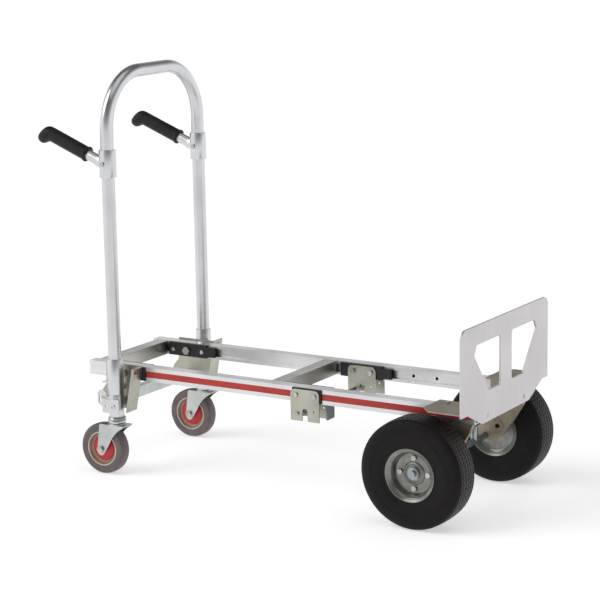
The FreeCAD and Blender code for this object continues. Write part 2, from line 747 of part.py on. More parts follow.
def make_axle():
    end = wheel_y + hub_out + washer_thick + clip_thick + 6
    node("axle", rod("Axle", (axle_x, -end, axle_high), ALONG_Y, end * 2, axle_radius))
    outside = wheel_y + hub_out + running
    sleeve_in = bracket_in + bracket_thick
    sleeve_out = wheel_y - hub_in - running
    both_in_one(
        "axle_washers",
        tube("WasherOut", (axle_x, -outside - washer_thick, axle_high), ALONG_Y, washer_thick, 14, axle_radius),
        tube("AxleSleeve", (axle_x, -sleeve_out, axle_high), ALONG_Y, sleeve_out - sleeve_in, 12, axle_radius),
    )
    clip_at = outside + washer_thick
    both_in_one(
        "axle_clips",
        tube("Clip", (axle_x, -clip_at - clip_thick, axle_high), ALONG_Y, clip_thick, 11, axle_radius),
    )
    tie_low = axle_high + tie_above - tie_side / 2
    tie = block(
        "AxleTie",
        (axle_x - tie_side / 2, -bracket_in, tie_low),
        (axle_x + tie_side / 2, bracket_in, tie_low + tie_side),
    )
    node("axle_tie", tie)
    post = rod("PostWhole", (axle_x, -post_out, axle_high), UPRIGHT, tie_low - axle_high, post_radius)
    saddle = rod("PostSaddle", (axle_x, -post_out - post_radius - 1, axle_high), ALONG_Y, post_radius * 2 + 2, axle_radius)
    both_in_one("axle_posts", cut("Post", post, saddle))


def make_nose_bolts():
    flush_start = (rail_front, -nose_bolt_out, nose_bolt_high)
    bolts = [rod("NoseBolt", flush_start, ALONG_X, nose_thick, nose_bolt_radius)]
    for n, out in enumerate((0.3, 0.8)):
        x = axle_x + gusset_back + (rail_front - axle_x - gusset_back) * out
        bolts.append(
            rod(f"GussetBolt{n}", (x, -deck_half + rail_wide / 2, rail_top + gusset_thick), UPRIGHT, 2.5, small_bolt)
        )
    both_in_one("nose_bolts", *bolts)


# ---- big wheels ----


def make_big_wheels():
    half = tyre_wide / 2
    seat = rim_seat
    bead_step = half - rim_lip
    for side, label in ((-1, "right"), (1, "left")):
        name = label.title()
        tyre = turned(
            "BigTyre" + name,
            "XY_Plane",
            [
                (seat, -rim_lip),
                (rim_radius, -rim_lip),
                (rim_radius + bead_step, -half),
                (axle_high, -half),
                (axle_high, half),
                (rim_radius + bead_step, half),
                (rim_radius, rim_lip),
                (seat, rim_lip),
            ],
        )

        def is_shoulder(edge):
            return abs(edge.BoundBox.XLength / 2 - axle_high.value) < 0.01

        round_corners(tyre, tyre_round, is_shoulder)
        node("big_tyre_" + label, place(tyre, axle_x, side * wheel_y, axle_high))
        inner = seat - rim_sheet
        flange = rim_lip + rim_sheet
        rim = turned(
            "BigRim" + name,
            "XY_Plane",
            [
                (hub_radius, side * (disc_out - rim_sheet)),
                (inner, side * (disc_out - rim_sheet)),
                (inner, side * (rim_sheet - disc_in)),
                (hub_radius, side * (rim_sheet - disc_in)),
                (hub_radius, side * -disc_in),
                (inner, side * -disc_in),
                (inner, side * -flange),
                (rim_radius, side * -flange),
                (rim_radius, side * -rim_lip),
                (seat, side * -rim_lip),
                (seat, side * rim_lip),
                (rim_radius, side * rim_lip),
                (rim_radius, side * flange),
                (inner, side * flange),
                (inner, side * disc_out),
                (hub_radius, side * disc_out),
            ],
        )
        node("big_rim_" + label, place(rim, axle_x, side * wheel_y, axle_high))
        bore = axle_radius + bore_slip
        hub = turned(
            "BigHub" + name,
            "XY_Plane",
            [
                (bore, side * -hub_in),
                (hub_radius, side * -hub_in),
                (hub_radius, side * hub_out),
                (bore, side * hub_out),
            ],
        )
        node("big_hub_" + label, place(hub, axle_x, side * wheel_y, axle_high))
        bolts = []
        for n in range(4):
            dx = rim_bolt_circle * round(math.cos(n * math.pi / 2))
            dz = rim_bolt_circle * round(math.sin(n * math.pi / 2))
            start = wheel_y + disc_out if side > 0 else -(wheel_y + disc_out) - 5
            bolts.append(hexagon(f"RimBolt{name}{n}", (axle_x + dx, start, axle_high + dz), ALONG_Y, 5, rim_bolt * 1.7))
        node("rim_bolts_" + label, group("RimBolts" + name, *bolts))


# ---- tilting carriages and collars ----


def make_carriages():
    top = rail_top + sheet_thick
    corners = [
        (leg_x - carriage_back, top),
        (leg_x + carriage_ahead, top),
        (leg_x + carriage_toe, carriage_foot),
        (leg_x - carriage_lobe + 18, carriage_foot),
        (leg_x - carriage_lobe, carriage_foot + 15),
        (leg_x - carriage_lobe, carriage_foot + 33),
        (leg_x - carriage_lobe + 18, carriage_foot + 56),
    ]
    web = plate("CarriageWeb", "XZ_Plane", web_y, sheet_thick, corners, [(leg_x, pivot_high, pivot_bolt + slip)])
    cut_slot(web, "XZ_Plane", web_y, sheet_thick, bar_x, bar_high, carriage_foot - 1, slot_half)
    shelf_out = web_y + carriage_shelf
    shelf = plate(
        "CarriageShelf",
        "XY_Plane",
        rail_top,
        sheet_thick,
        [
            (leg_x - carriage_back, -web_y),
            (leg_x + carriage_ahead, -web_y),
            (leg_x + carriage_ahead, -shelf_out),
            (leg_x - carriage_back, -shelf_out),
        ],
        [(leg_x, -leg_y, collar_radius)],
    )

    def is_outer_corner(edge):
        return runs_along(edge, 2) and edge.CenterOfMass.y < -shelf_out.value + 1

    round_corners(shelf, latch_round, is_outer_corner)
    cheek_profile = [
        (leg_x + carriage_ahead, top),
        (leg_x + carriage_ahead - sheet_thick, top),
        (leg_x + carriage_toe - sheet_thick, carriage_foot),
        (leg_x + carriage_toe, carriage_foot),
    ]
    cheek = plate("CarriageCheek", "XZ_Plane", web_y, carriage_shelf - 4, cheek_profile)
    both_sides("carriage", fuse("Carriage", web, shelf, cheek))


def make_collars():
    sleeve = tube("CollarSleeve", (leg_x, -leg_y, collar_foot), UPRIGHT, collar_high, collar_radius, collar_bore)
    tab = block(
        "CollarTab",
        (leg_x - collar_radius - 16, -leg_y - 9, collar_foot + 25),
        (leg_x - collar_bore - 1, -leg_y + 9, collar_foot + 28),
    )
    strap_y = web_y + sheet_thick
    strap = block(
        "CollarStrap",
        (leg_x - 12, -leg_y + collar_bore + 1, collar_foot + 8),
        (leg_x + 12, -strap_y, collar_foot + 22),
    )
    both_sides("collar", fuse("Collar", sleeve, tab, strap))


# ---- sliding handle ----


def make_handle():
    body = doc.addObject("PartDesign::Body", "HandleTube")
    route = new_sketch(body, "YZ_Plane", leg_x)
    crown = arch_top - leg_radius
    spring = crown - arch_bend
    flat = leg_y - arch_bend
    y, z, f, b = leg_y.value, spring.value, flat.value, arch_bend.value
    up = FreeCAD.Vector(0, 0, 1)
    right = Part.Circle(FreeCAD.Vector(-f, z, 0), up, b)
    left = Part.Circle(FreeCAD.Vector(f, z, 0), up, b)
    route.addGeometry(Part.LineSegment(FreeCAD.Vector(-y, leg_foot.value, 0), FreeCAD.Vector(-y, z, 0)), False)
    route.addGeometry(Part.ArcOfCircle(right, math.pi / 2, math.pi), False)
    route.addGeometry(Part.LineSegment(FreeCAD.Vector(-f, z + b, 0), FreeCAD.Vector(f, z + b, 0)), False)
    route.addGeometry(Part.ArcOfCircle(left, 0, math.pi / 2), False)
    route.addGeometry(Part.LineSegment(FreeCAD.Vector(y, z, 0), FreeCAD.Vector(y, leg_foot.value, 0)), False)
    for one, end, other, start in ((0, 2, 1, 2), (1, 1, 2, 1), (2, 2, 3, 2), (3, 1, 4, 1)):
        route.addConstraint(Sketcher.Constraint("Coincident", one, end, other, start))
    pin(route, 0, 1, -leg_y, leg_foot)
    pin(route, 0, 2, -leg_y, spring)
    pin(route, 2, 1, -flat, crown)
    pin(route, 2, 2, flat, crown)
    pin(route, 4, 1, leg_y, spring)
    pin(route, 4, 2, leg_y, leg_foot)
    pin(route, 1, 3, None, spring)
    pin(route, 3, 3, None, spring)
    section = new_sketch(body, "XY_Plane", leg_foot)
    hole(section, leg_x, -leg_y, leg_radius)
    hole(section, leg_x, -leg_y, leg_radius - leg_wall)
    pipe = body.newObject("PartDesign::AdditivePipe", "HandlePipe")
    pipe.Profile = (section, [""])
    pipe.Spine = (route, ["Edge1", "Edge2", "Edge3", "Edge4", "Edge5"])
    holes = []
    for side, name in ((-1, "Right"), (1, "Left")):
        start = (clamp_bolt_x, side * leg_y - clamp_radius, clamp_bolt_high)
        holes.append(rod("HandleBoltHole" + name, start, ALONG_Y, clamp_radius * 2, small_bolt + slip))
    node("handle_tube", cut("HandleTubeDrilled", body, *holes))


def make_feet():
    sleeve = tube("FootSleeve", (leg_x, -leg_y, foot_low), UPRIGHT, foot_high, foot_radius, leg_radius)
    face = leg_y + foot_radius - foot_wall
    left = leg_x - 31
    right = leg_x + 20.5
    low = foot_low + 11
    corners = [
        (left + 2, low),
        (right - 4, low),
        (right, low + 8),
        (right, low + 36),
        (left + 16, low + 34),
        (left + 15, low + 50),
        (left + 8, low + 56),
        (left - 5, low + 56),
        (left - 12, low + 48),
        (left - 12, low + 24),
        (left + 2, low + 14),
    ]
    holes = [(leg_x - 18, low + 18, small_bolt * 0.9)]
    side = plate("FootPlate", "XZ_Plane", face, sheet_thick, corners, holes)
    hook = block("FootHook", (left - 6, -face - sheet_thick - 1, low + 24), (left, -face + 1, low + 42))
    throat = block("FootThroat", (left - 6, -face - sheet_thick - 1, low + 35), (left + 20, -face + 1, low + 42))
    button = tube("FootButton", (leg_x + 2, -face - sheet_thick - 2, low + 16), ALONG_Y, 3, 7, 3)
    core = rod("FootCore", (leg_x, -leg_y, foot_low), UPRIGHT, foot_high, leg_radius)
    shell = cut("FootShell", fuse("FootWhole", sleeve, cut("FootSide", side, hook, throat), button), core)
    both_sides("foot", shell)


def make_lower_bar():
    low = bar_high - bar_tall / 2
    middle = block(
        "BarMiddle",
        (bar_x - bar_deep / 2, -bar_half, low),
        (bar_x + bar_deep / 2, bar_half, low + bar_tall),
    )
    end = leg_y - foot_radius + 1
    shank = rod("BarPins", (bar_x, -end, bar_high), ALONG_Y, end * 2, bar_pin)
    pieces = [middle, shank]
    for side, name in ((-1, "Right"), (1, "Left")):
        inner = leg_y - foot_radius - 6
        ends = (inner, inner + 7) if side > 0 else (-inner - 7, -inner)
        low_corner = (bar_x - 9, ends[0], bar_high - 12)
        high_corner = (leg_x - 1, ends[1], bar_high + 12)
        tab = block("BarTab" + name, low_corner, high_corner)
        socket = rod("BarTabSocket" + name, (leg_x, side * leg_y, foot_low), UPRIGHT, foot_high, foot_radius)
        pieces.append(cut("BarTabCut" + name, tab, socket))
    node("lower_bar", fuse("LowerBar", *pieces))


def along_grip(name, length, radius):
    """A round bar on a grip's axis, from the leg outward."""
    turn = FreeCAD.Rotation(FreeCAD.Vector(0, 1, 0), grip_rise.value - 90)
    bar = rod(name, (leg_x, -leg_y, grip_at), turn, length, radius)
    bar.setExpression("Placement.Rotation.Angle", (grip_rise - 90).text)
    return bar


def make_grips():
    clamp_start = (leg_x, -leg_y, clamp_foot)
    socket_length = clamp_radius + 9
    socket_radius = grip_tube + socket_wall
    sleeve = tube("ClampSleeve", clamp_start, UPRIGHT, clamp_high, clamp_radius, leg_radius)
    bore = rod("ClampBore", clamp_start, UPRIGHT, clamp_high, leg_radius)
    bolt_reach = clamp_radius + head_high
    bolt_start = (clamp_bolt_x, -leg_y - bolt_reach, clamp_bolt_high)
    bolt_hole = rod("ClampBoltHole", bolt_start, ALONG_Y, bolt_reach * 2, small_bolt + slip)
    socket = along_grip("ClampSocket", socket_length, socket_radius)
    whole = fuse("ClampWhole", cut("ClampDrilled", sleeve, bolt_hole), socket)
    stub_bore = along_grip("ClampStubBore", grip_start, grip_tube)
    both_sides("grip_clamp", cut("GripClamp", whole, bore, stub_bore))
    leg_hole = rod("GripTubeLeg", clamp_start, UPRIGHT, clamp_high, leg_radius)
    stub = along_grip("GripTubeWhole", grip_end - grip_cap, grip_tube)
    both_in_one("grip_tubes", cut("GripTube", stub, along_grip("GripTubeHollow", grip_end, grip_tube - 2), leg_hole))
    heads = hexagon("ClampBoltHeads", bolt_start, ALONG_Y, bolt_reach * 2, small_bolt * 1.5)
    seat = rod("ClampBoltSeat", clamp_start, UPRIGHT, clamp_high, clamp_radius)
    shank = rod("ClampBoltShank", bolt_start, ALONG_Y, bolt_reach * 2, small_bolt)
    both_in_one("clamp_bolts", fuse("ClampBolt", cut("ClampBoltEnds", heads, seat), shank))
    both_sides("grip", make_grip())


def make_grip():
    """The right grip: a flange at its start and a lip that hangs below its closed end."""
    flange = grip_radius + grip_flange
    body = turned(
        "Grip",
        "XZ_Plane",
        [
            (0, grip_start),
            (flange, grip_start),
            (flange, grip_start + 5),
            (grip_radius, grip_start + 6),
            (grip_radius, grip_end - 6),
            (grip_radius - 4, grip_end),
            (0, grip_end),
        ],
    )
    lip = new_sketch(body, "XY_Plane", grip_end - lip_long)
    hole(lip, -lip_drop, 0, lip_radius)
    add_feature(body, "Pad", lip, Length=lip_long)
    bore = new_sketch(body, "XY_Plane", grip_end - grip_cap)
    hole(bore, 0, 0, grip_tube)
    add_feature(body, "Pocket", bore, Length=grip_end - grip_cap - grip_start)
    place(body, leg_x, -leg_y, grip_at, FreeCAD.Rotation(FreeCAD.Vector(0, 1, 0), grip_rise.value - 90))
    body.setExpression("Placement.Rotation.Angle", (grip_rise - 90).text)
    return body


# ---- casters ----


def make_casters():
    ring_low = fork_crown + 3.5
    cup = rod("BearingCup", (leg_x, -leg_y, ring_low + 7), UPRIGHT, foot_low - ring_low - 7, race_radius - 3)
    ring = rod("BearingRing", (leg_x, -leg_y, ring_low), UPRIGHT, 7, race_radius)
    crown_low = fork_crown - fork_sheet
    shank = rod("Kingpin", (leg_x, -leg_y, crown_low - slip), UPRIGHT, 12, kingpin)
    head = rod("KingpinHead", (leg_x, -leg_y, crown_low - slip - 3), UPRIGHT, 3, kingpin + 2)
    both_in_one("caster_bearings", fuse("CasterBearing", cup, ring, shank, head))

    cheek_in = caster_wide / 2 + 1.3
    cheek_out = cheek_in + fork_sheet
    crown = block(
        "ForkCrown",
        (leg_x - crown_back, -leg_y - cheek_out, crown_low),
        (leg_x + crown_ahead, -leg_y + cheek_out, fork_crown),
    )
    race = rod("ForkRace", (leg_x, -leg_y, fork_crown), UPRIGHT, 3.5 - running, race_radius - 1)
    pieces = [crown, race]
    for n, offset in enumerate((leg_y - cheek_out, leg_y + cheek_in)):
        corners = [
            (leg_x - cheek_back, fork_crown),
            (leg_x + crown_ahead, fork_crown),
            (leg_x + crown_ahead, fork_crown - 5),
            (leg_x + crown_ahead - 18, fork_crown - 17),
            (leg_x - 5, fork_crown - 37),
            (caster_x + 11, caster_radius - 7),
            (caster_x + 5, caster_radius - 15),
            (caster_x - 5, caster_radius - 15),
            (caster_x - 11, caster_radius - 8),
        ]
        pieces.append(plate(f"ForkCheek{n}", "XZ_Plane", offset, fork_sheet, corners))
    whole = fuse("ForkWhole", *pieces)
    pin_hole = rod("ForkPinHole", (leg_x, -leg_y, crown_low - 1), UPRIGHT, 12, kingpin + slip)
    axle_start = (caster_x, -leg_y - cheek_out - 1, caster_radius)
    axle_hole = rod("ForkAxleHole", axle_start, ALONG_Y, (cheek_out + 1) * 2, caster_bolt)
    both_sides("caster_fork", cut("Fork", whole, pin_hole, axle_hole))
    both_sides("caster_axle", caster_bolt_shape(cheek_out))
    make_caster_wheels(cheek_in)


def caster_bolt_shape(cheek_out):
    start = -leg_y - cheek_out
    shank = rod("CasterShank", (caster_x, start, caster_radius), ALONG_Y, cheek_out * 2, caster_bolt)
    head = hexagon("CasterHead", (caster_x, start - 5, caster_radius), ALONG_Y, 5, caster_bolt * 1.8)
    nut = hexagon("CasterNut", (caster_x, start + cheek_out * 2, caster_radius), ALONG_Y, 5, caster_bolt * 1.8)
    return fuse("CasterBolt", shank, head, nut)


def make_caster_wheels(cheek_in):
    half = caster_wide / 2
    tyre = turned(
        "CasterTyre",
        "XY_Plane",
        [(caster_core, -half), (caster_radius, -half), (caster_radius, half), (caster_core, half)],
    )

    def is_shoulder(edge):
        return abs(edge.BoundBox.XLength / 2 - caster_radius.value) < 0.01

    round_corners(tyre, caster_round, is_shoulder)
    both_sides("caster_tyre", place(tyre, caster_x, -leg_y, caster_radius))
    web = 5
    core = turned(
        "CasterCore",
        "XY_Plane",
        [
            (caster_hub, -web),
            (caster_core - 5, -web),
            (caster_core - 5, -half + 2),
            (caster_core, -half + 2),
            (caster_core, half - 2),
            (caster_core - 5, half - 2),
            (caster_core - 5, web),
            (caster_hub, web),
        ],
    )
    both_sides("caster_core", place(core, caster_x, -leg_y, caster_radius))
    bore = caster_bolt + bore_slip
    hub_half = cheek_in - running
    hub = turned(
        "CasterHub",
        "XY_Plane",
        [
            (bore, -hub_half),
            (bore + 4, -hub_half),
            (bore + 5, -web - 4),
            (caster_hub, -web - 2),
            (caster_hub, web + 2),
            (bore + 5, web + 4),
            (bore + 4, hub_half),
            (bore, hub_half),
        ],
    )
    both_sides("caster_hub", place(hub, caster_x, -leg_y, caster_radius))


# ---- latch release ----


def make_release():
    end = latch_out + sheet_thick + 4
    node("release_rod", rod("ReleaseRod", (rod_x, -end, rod_high), ALONG_Y, end * 2, rod_radius))
    pawl_y = (latch_in + latch_out) / 2
    # the nose reaches just under the lower bar's end when it sits in the slot
    nose_x_reach = rod_x + rod_back - 1
    pawl = plate(
        "Pawl",
        "XZ_Plane",
        pawl_y,
        6,
        [
            (rod_x - 8, rod_high - 6),
            (rod_x + 4, rod_high - 10),
            (nose_x_reach, rod_high - 7),
            (nose_x_reach, rod_high - 1),
            (rod_x + 9, rod_high + 1),
            (rod_x + 5, rod_high + 8),
            (rod_x - 8, rod_high + 8),
        ],
        [(rod_x, rod_high, rod_radius)],
    )
    both_in_one("release_pawls", pawl)
    arm_y = latch_in - sheet_thick - running - 5
    arm = plate(
        "PedalArm",
        "XZ_Plane",
        arm_y,
        5,
        [
            (rod_x - 7, rod_high - 8),
            (rod_x + 4, rod_high - 15),
            (rod_x + pedal_ahead, rod_high - 15),
            (rod_x + pedal_ahead, rod_high - 5),
            (rod_x + 10, rod_high - 5),
            (rod_x + 6, rod_high + 7),
            (rod_x - 7, rod_high + 7),
        ],
        [(rod_x, rod_high, rod_radius)],
    )
    tread_y = arm_y - 6
    tread = block(
        "PedalTread",
        (rod_x + pedal_ahead, -tread_y - pedal_wide, rod_high - 15),
        (rod_x + pedal_ahead + sheet_thick, -tread_y, rod_high - 15 + pedal_tall),
    )
    node("release_pedal", fuse("Pedal", arm, tread))


make_rail()
make_stripes()
make_crossbar("crossbar_rear", leg_x - crossbar_rear_at, rail_in)
make_crossbar("crossbar_middle", leg_x + crossbar_middle_at, rail_in)
make_crossbar("crossbar_front", axle_x + crossbar_front_at, rail_in - gusset_thick)
make_blocks()
make_rail_fasteners()
make_latch_boxes()
make_nose_plate()
make_gussets()
make_axle_brackets()
make_axle()
make_nose_bolts()
make_big_wheels()
make_carriages()
make_collars()
make_handle()
make_feet()
make_lower_bar()
make_grips()
make_casters()
make_release()

doc.recompute()

for thing in doc.Objects:
    if "Invalid" in thing.State or "Error" in thing.State:
        raise ValueError(f"{thing.Name} failed: {thing.State}")
for thing in nodes:
    if thing.Shape.isNull() or not thing.Shape.isValid() or not thing.Shape.Solids:
        raise ValueError(f"{thing.Label} has no sound shape")

os.makedirs("parts", exist_ok=True)
for thing in nodes:
    thing.Shape.exportStep(os.path.join("parts", thing.Label + ".step"))
print(len(nodes), "sub-parts written")
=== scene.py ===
# %% [markdown]
# # A convertible hand truck, shown as a platform cart
#
# The truck's working shape comes from a CAD model: rails, tubes, brackets, bolts and everything that turns
# or slides. This lesson gives that model its looks. Most metal pieces keep their CAD shape and get a soft
# edge and a finish. Moulded and pressed pieces, such as tyres, rims and grips, are made again with more
# detail, because a machine-drawn solid has none of the ribs, beads and rounded lips that a mould or a press
# leaves behind.

# %% Load the frame
import math

import bmesh
import bpy
import numpy as np
from mathutils import Matrix, Vector


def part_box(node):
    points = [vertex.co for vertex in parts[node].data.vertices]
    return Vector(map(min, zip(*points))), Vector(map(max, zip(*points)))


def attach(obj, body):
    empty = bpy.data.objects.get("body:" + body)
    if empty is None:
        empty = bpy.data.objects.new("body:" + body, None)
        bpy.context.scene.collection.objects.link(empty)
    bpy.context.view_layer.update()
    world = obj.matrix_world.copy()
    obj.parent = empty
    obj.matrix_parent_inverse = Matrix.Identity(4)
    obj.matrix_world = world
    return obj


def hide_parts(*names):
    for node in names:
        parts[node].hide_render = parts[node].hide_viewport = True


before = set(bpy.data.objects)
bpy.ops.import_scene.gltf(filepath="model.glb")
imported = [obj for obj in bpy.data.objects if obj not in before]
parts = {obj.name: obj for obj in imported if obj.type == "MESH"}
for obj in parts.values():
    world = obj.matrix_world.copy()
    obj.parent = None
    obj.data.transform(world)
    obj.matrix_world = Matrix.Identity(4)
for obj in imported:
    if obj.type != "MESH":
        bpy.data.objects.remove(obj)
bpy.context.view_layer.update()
SIDES = {"left": 1, "right": -1}
MM = 0.001

# %% [markdown]
# ## Two helpers for materials
#
# Colours are easier to read as the hex values that a paint chart or a colour picker gives. Blender works in
# linear light, so one function turns a hex value into linear numbers. A second function adds one shader
# node, fills in its settings and joins its inputs, so that each material below reads like a short recipe.

# %% Colour and node helpers


def linear(hex_colour):
    """An sRGB hex colour as linear red, green, blue and alpha."""
    channels = [int(hex_colour[n : n + 2], 16) / 255 for n in (0, 2, 4)]
    return [c / 12.92 if c <= 0.04045 else ((c + 0.055) / 1.055) ** 2.4 for c in channels] + [1.0]


def add(tree, kind, inputs=None, **settings):
    """Adds a shader node: settings are its own properties, inputs are its sockets' values or links."""
    made = tree.nodes.new("ShaderNode" + kind)
    for name, value in settings.items():
        setattr(made, name, value)
    for name, value in (inputs or {}).items():
        if isinstance(value, bpy.types.NodeSocket):
            tree.links.new(value, made.inputs[name])
        else:
            made.inputs[name].default_value = value
    return made


def new_material(name):
    """An empty material, and its node tree."""
    material = bpy.data.materials.new(name)
    material.use_nodes = True
    material.node_tree.nodes.clear()
    return material, material.node_tree


def finish_material(tree, surface):
    add(tree, "OutputMaterial", {"Surface": surface.outputs[0]})


print("mid grey 808080 is", round(linear("808080")[0], 3), "in linear light")

# %% [markdown]
# ## Patterns that the finishes share
#
# Every finish here is a base colour that drifts a little, a roughness that drifts too, and a fine relief.
# What differs is the direction and the size of the grain. Extruded, drawn and rolled metal has long thin
# lines, so its noise is stretched along one axis. Cast metal and rubber have an even grain, so theirs isn't
# stretched. A noise's scale is in grains per metre: 60 is a clump of 17 mm that finer layers break up, and
# 900 is a grain of 1.1 mm. Real die lines and rubber grain are finer than that, and are drawn as coarse as
# they need to be seen.

# %% Shared patterns
METAL_GRAINS = 60.0
METAL_GRAIN_SHARE = 0.25
EVEN = (1, 1, 1)


def grain(tree, scale, detail, stretch=EVEN):
    """A noise over the object's metres: scale is in grains per metre, and a small stretch makes lines."""
    place = add(tree, "TexCoord")
    squeezed = add(tree, "Mapping", {"Vector": place.outputs["Object"], "Scale": stretch})
    noise = add(tree, "TexNoise", {"Vector": squeezed.outputs[0], "Scale": scale, "Detail": detail})
    return noise.outputs["Fac"]


def ramp(tree, fac, low, high, start=0.3, end=0.7):
    """A number or a colour that runs from low to high as fac goes from start to end."""
    reach = {"Value": fac, "From Min": start, "From Max": end}
    if isinstance(low, str):
        mix = add(tree, "MixRGB", {"Color1": linear(low), "Color2": linear(high)})
        span = add(tree, "MapRange", reach)
        tree.links.new(span.outputs[0], mix.inputs["Fac"])
        return mix.outputs[0]
    span = add(tree, "MapRange", {**reach, "To Min": low, "To Max": high})
    return span.outputs[0]


def relief(tree, fac, height_mm):
    """A bump as high as height_mm where fac is 1."""
    bump = add(tree, "Bump", {"Height": fac, "Strength": 1.0, "Distance": height_mm * MM})
    return bump.outputs[0]


def worn_metal(name, light, dark, rough, spread, lines, cloud=9.0, depth_mm=0.04):
    """A bare or plated metal. lines stretches the grain so that it runs along one axis."""
    material, tree = new_material(name)
    clouds = grain(tree, cloud, detail=4.0)
    fine = grain(tree, METAL_GRAINS, detail=6.0, stretch=lines)
    blotches = add(tree, "MixRGB", {"Fac": METAL_GRAIN_SHARE, "Color1": clouds, "Color2": fine})
    surface = add(
        tree,
        "BsdfPrincipled",
        {
            "Base Color": ramp(tree, blotches.outputs[0], dark, light, 0.25, 0.75),
            "Metallic": 1.0,
            "Roughness": ramp(tree, blotches.outputs[0], rough + spread, rough - spread),
            "Normal": relief(tree, fine, depth_mm),
        },
    )
    finish_material(tree, surface)
    return material


# %% [markdown]
# ## The metals
#
# The rails and crossbars are extruded aluminium: faint lines run along them from the die. The handle is a
# drawn tube with a smoother skin. The nose plate is rolled sheet, dull and even, with an upright grain. The
# latch boxes and carriages are steel with a yellowish zinc coat, and the forks' zinc coat is greyer: both
# are blotchy. The gussets are steel with an olive tint. The axle and its posts have a bluish zinc coat. The
# axle brackets are cast in sand and look tan and grainy.

# %% Make the metals
ALONG_X = (0.03, 1, 1)
ALONG_Y = (1, 0.03, 1)
ALONG_Z = (1, 1, 0.03)

metals = {
    "extruded": worn_metal("extruded_aluminium", "E6E5E6", "D0CFD0", 0.34, 0.07, ALONG_X),
    "cross": worn_metal("crossbar_aluminium", "C6C5C1", "ABA9A4", 0.36, 0.07, ALONG_Y),
    "drawn": worn_metal(
        "drawn_tube_aluminium", "D8D9DB", "C9CACD", 0.3, 0.04, ALONG_Z, cloud=14.0, depth_mm=0.008
    ),
    "rolled": worn_metal("rolled_plate_aluminium", "DAD8D9", "CECBCC", 0.55, 0.06, ALONG_Z, cloud=5.0),
    "olive": worn_metal("gusset_steel", "AFA899", "928B7C", 0.5, 0.06, ALONG_X),
    "zinc": worn_metal("zinc_plated_steel", "CED2CF", "B2B7B5", 0.4, 0.07, EVEN, cloud=22.0),
    "latch": worn_metal("yellow_zinc_steel", "BEBDB0", "A6A599", 0.42, 0.07, EVEN, cloud=16.0),
    "bright": worn_metal("bright_race_steel", "DADBD8", "A9ABAA", 0.24, 0.05, EVEN, cloud=40.0),
    "blue_zinc": worn_metal("blue_zinc_steel", "B4BDC2", "8A949A", 0.33, 0.08, EVEN, cloud=20.0),
    "cast": worn_metal(
        "sand_cast_aluminium", "B3A894", "857B6A", 0.55, 0.08, EVEN, cloud=26.0, depth_mm=0.35
    ),
    "bolt": worn_metal("bolt_steel", "C9CBC6", "8F918C", 0.3, 0.06, EVEN, cloud=60.0),
}
print(len(metals), "metals")


# %% [markdown]
# ## Paint, plastic and rubber
#
# The pressed rims carry a silver paint: tiny metal flakes under a thin clear coat. The red strip is vinyl
# and the caster hubs are moulded polypropylene, both with a soft gloss. The nylon blocks are dull black.
# Tyre rubber is never quite black, and its tread is paler, which is a painted highlight on the lugs,
# while a caster's harder rubber is a warm grey.

# %% Make the paint, plastic and rubber


def coated(name, light, dark, rough, spread, scale, depth_mm, **more):
    """A material that isn't bare metal: more holds the Principled shader's other settings."""
    material, tree = new_material(name)
    coarse = grain(tree, scale / 12, detail=4.0)
    fine = grain(tree, scale, detail=5.0)
    inputs = {
        "Base Color": ramp(tree, coarse, dark, light),
        "Roughness": ramp(tree, fine, rough + spread, rough - spread),
        "Normal": relief(tree, fine, depth_mm),
    }
    inputs.update({key.replace("_", " "): value for key, value in more.items()})
    finish_material(tree, add(tree, "BsdfPrincipled", inputs))
    return material


coats = {
    "rim": coated(
        "silver_rim_paint", "8C8C87", "74746E", 0.32, 0.05, 900, 0.02, Metallic=0.75, Coat_Weight=0.4
    ),
    "tyre": coated(
        "tyre_rubber", "120C0E", "0A0708", 0.55, 0.08, 700, 0.06, IOR=1.52, Specular_IOR_Level=0.2
    ),
    # The tread rubber's paler colour is a painted highlight on the crown's lugs.
    "tread": coated(
        "tread_rubber_painted_highlight", "211917", "120D0D", 0.45, 0.1, 900, 0.06, IOR=1.52, Specular_IOR_Level=0.35
    ),
    "caster": coated("caster_rubber", "6A5F60", "564C4E", 0.48, 0.06, 500, 0.05, IOR=1.52),
    "ring": coated("pale_nylon_ring", "D9CDBB", "C6B9A6", 0.4, 0.05, 400, 0.02, IOR=1.53),
    "core": coated("tan_nylon", "A8937F", "8F7B69", 0.42, 0.06, 400, 0.03, IOR=1.53),
    "hub": coated("red_polypropylene", "D22A38", "B91E2C", 0.3, 0.05, 300, 0.02, IOR=1.49),
    "strip": coated("red_vinyl_strip", "BC2C22", "AB241C", 0.38, 0.05, 300, 0.02, IOR=1.53),
    "nylon": coated("black_nylon", "181113", "0E090B", 0.5, 0.07, 500, 0.05, IOR=1.53),
    "grip": coated(
        "grip_rubber", "1C1618", "120E10", 0.55, 0.08, 800, 0.08, IOR=1.52, Specular_IOR_Level=0.3
    ),
}
print(len(coats), "paints, plastics and rubbers")

# %% [markdown]
# ## Dressing the CAD pieces
#
# A sharp edge never catches light, and a real edge always does. Each CAD piece but the long tubes gets a
# narrow bevel from a modifier: first the mesh's split corners are welded, then flat faces are joined, and
# only then is the bevel cut, so that it follows the piece's true edges. The CAD mesh itself stays as it is.

# %% Soft edges and finishes for the CAD pieces
WELD_WITHIN = 0.00002
FLAT_WITHIN = math.radians(0.5)
EDGE_FROM = math.radians(40)


